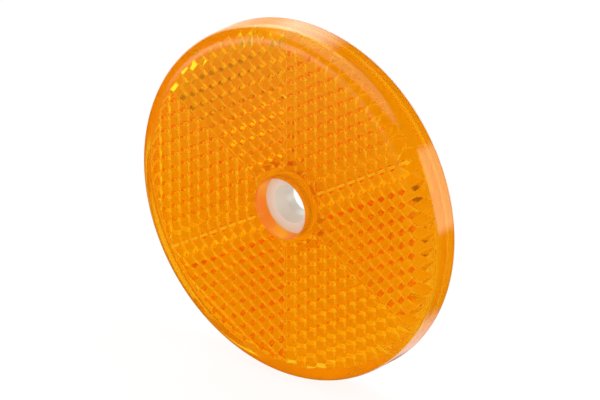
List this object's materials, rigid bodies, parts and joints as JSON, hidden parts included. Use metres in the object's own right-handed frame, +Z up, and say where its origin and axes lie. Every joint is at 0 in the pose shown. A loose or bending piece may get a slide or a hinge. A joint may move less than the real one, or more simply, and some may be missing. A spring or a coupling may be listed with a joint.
{
  "type": "round reflex reflector",
  "caption": "Round screw-on amber reflex reflector: domed-edge acrylic lens with corner-cube prisms, closed by a white back plate with a central screw collar.",
  "frame": {"origin": "centre of the fixing hole on the mounting face", "axes": "the disc stands upright: its axis is Y, the lens faces -Y, +Z is up and the mounting face is y = 0"},
  "size_m": [0.06, 0.0068, 0.06],
  "materials": {
    "amber_acrylic": "clear amber moulded acrylic, polished",
    "white_plastic": "white moulded ABS, semi-gloss"
  },
  "bodies": {
    "root": {"lens": "amber_acrylic", "back_plate": "white_plastic"}
  },
  "joints": []
}
